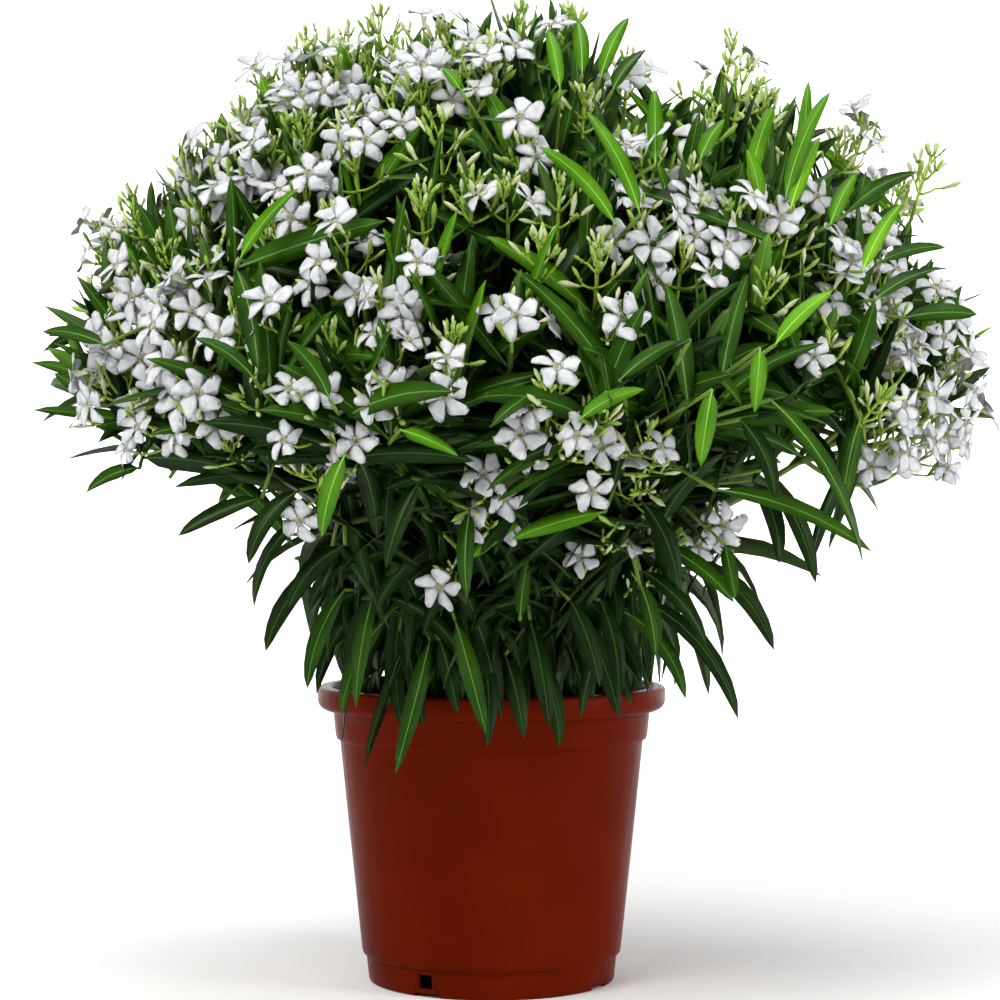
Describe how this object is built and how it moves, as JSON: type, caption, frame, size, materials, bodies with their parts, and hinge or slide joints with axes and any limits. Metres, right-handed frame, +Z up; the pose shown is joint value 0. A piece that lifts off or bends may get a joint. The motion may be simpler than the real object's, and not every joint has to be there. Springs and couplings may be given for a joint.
{
  "type": "potted oleander",
  "caption": "White-flowered evergreen shrub on several woody stems, with long narrow leaves in a broad rounded crown, growing in a tapered plastic nursery pot with a rolled rim.",
  "frame": {"origin": "centre of the flat underside of the pot, where it stands on the ground", "axes": "+Z up through the middle of the pot, -Y towards the side that the picture shows, +X to the right of that view"},
  "size_m": [0.7332, 0.7105, 0.7803],
  "materials": {
    "pot_plastic": "satin brick-red moulded plastic",
    "soil": "rough dark potting soil",
    "bark": "rough grey-brown bark",
    "foliage": "satin green leaves with white flowers"
  },
  "bodies": {
    "root": {"bough_crown_back": "bark", "bough_crown_back_left": "bark", "bough_crown_back_right": "bark", "bough_crown_front": "bark", "bough_crown_front_left": "bark", "bough_crown_left": "bark", "bough_crown_right": "bark", "bough_flank_back": "bark", "bough_flank_back_left": "bark", "bough_flank_back_right": "bark", "bough_flank_front": "bark", "bough_flank_front_left": "bark", "bough_flank_left": "bark", "bough_flank_right": "bark", "bough_shoulder_back": "bark", "bough_shoulder_back_left": "bark", "bough_shoulder_back_right": "bark", "bough_shoulder_front": "bark", "bough_shoulder_front_left": "bark", "bough_shoulder_left": "bark", "bough_shoulder_right": "bark", "foliage_crown_back": "foliage", "foliage_crown_back_left": "foliage", "foliage_crown_back_right": "foliage", "foliage_crown_front": "foliage", "foliage_crown_front_left": "foliage", "foliage_crown_left": "foliage", "foliage_crown_right": "foliage", "foliage_flank_back": "foliage", "foliage_flank_back_left": "foliage", "foliage_flank_back_right": "foliage", "foliage_flank_front": "foliage", "foliage_flank_front_left": "foliage", "foliage_flank_left": "foliage", "foliage_flank_right": "foliage", "foliage_shoulder_back": "foliage", "foliage_shoulder_back_left": "foliage", "foliage_shoulder_back_right": "foliage", "foliage_shoulder_front": "foliage", "foliage_shoulder_front_left": "foliage", "foliage_shoulder_left": "foliage", "foliage_shoulder_right": "foliage", "foliage_skirt_back": "foliage", "foliage_skirt_back_left": "foliage", "foliage_skirt_back_right": "foliage", "foliage_skirt_front": "foliage", "foliage_skirt_front_left": "foliage", "foliage_skirt_left": "foliage", "foliage_skirt_right": "foliage", "pot": "pot_plastic", "potting_soil": "soil", "stem_back": "bark", "stem_back_left": "bark", "stem_back_right": "bark", "stem_front": "bark", "stem_front_left": "bark", "stem_left": "bark", "stem_right": "bark"}
  },
  "joints": []
}
